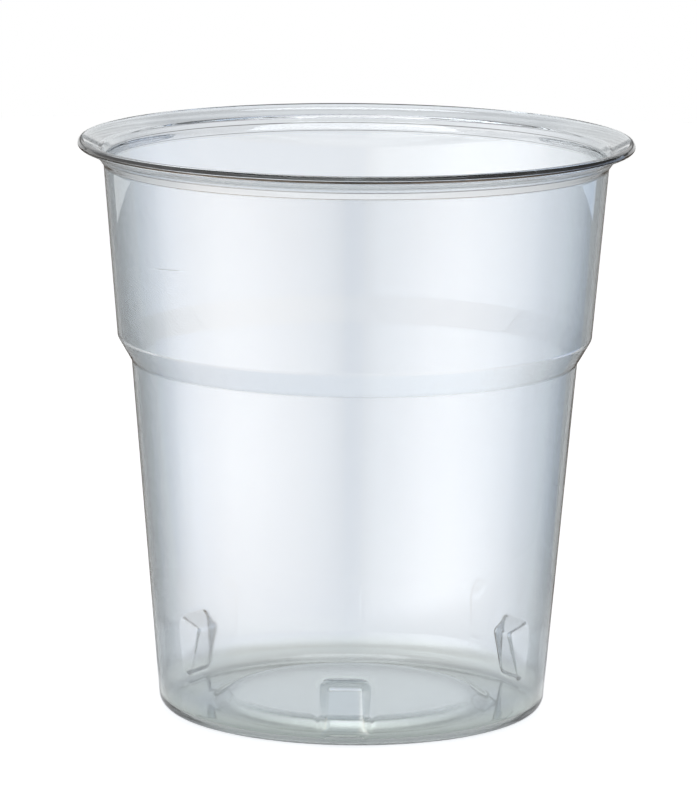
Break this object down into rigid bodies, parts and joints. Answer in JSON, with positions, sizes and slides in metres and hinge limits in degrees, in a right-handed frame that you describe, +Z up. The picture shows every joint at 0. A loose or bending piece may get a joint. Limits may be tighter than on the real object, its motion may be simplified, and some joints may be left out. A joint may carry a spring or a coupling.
{
  "type": "disposable plastic cup",
  "caption": "Clear tapered drinking cup with a flared round-edged rim, a stacking step in the wall, a raised floor centre and inward stacking lugs above the foot.",
  "frame": {"origin": "centre of the ring that the cup stands on, at the table", "axes": "+Z up along the cup's axis, -Y towards the picture's viewer, through the middle of one stacking lug"},
  "size_m": [0.0844, 0.0844, 0.0878],
  "materials": {
    "clear_polystyrene": "clear crystal polystyrene, mould polished"
  },
  "bodies": {
    "root": {"cup": "clear_polystyrene"}
  },
  "joints": []
}
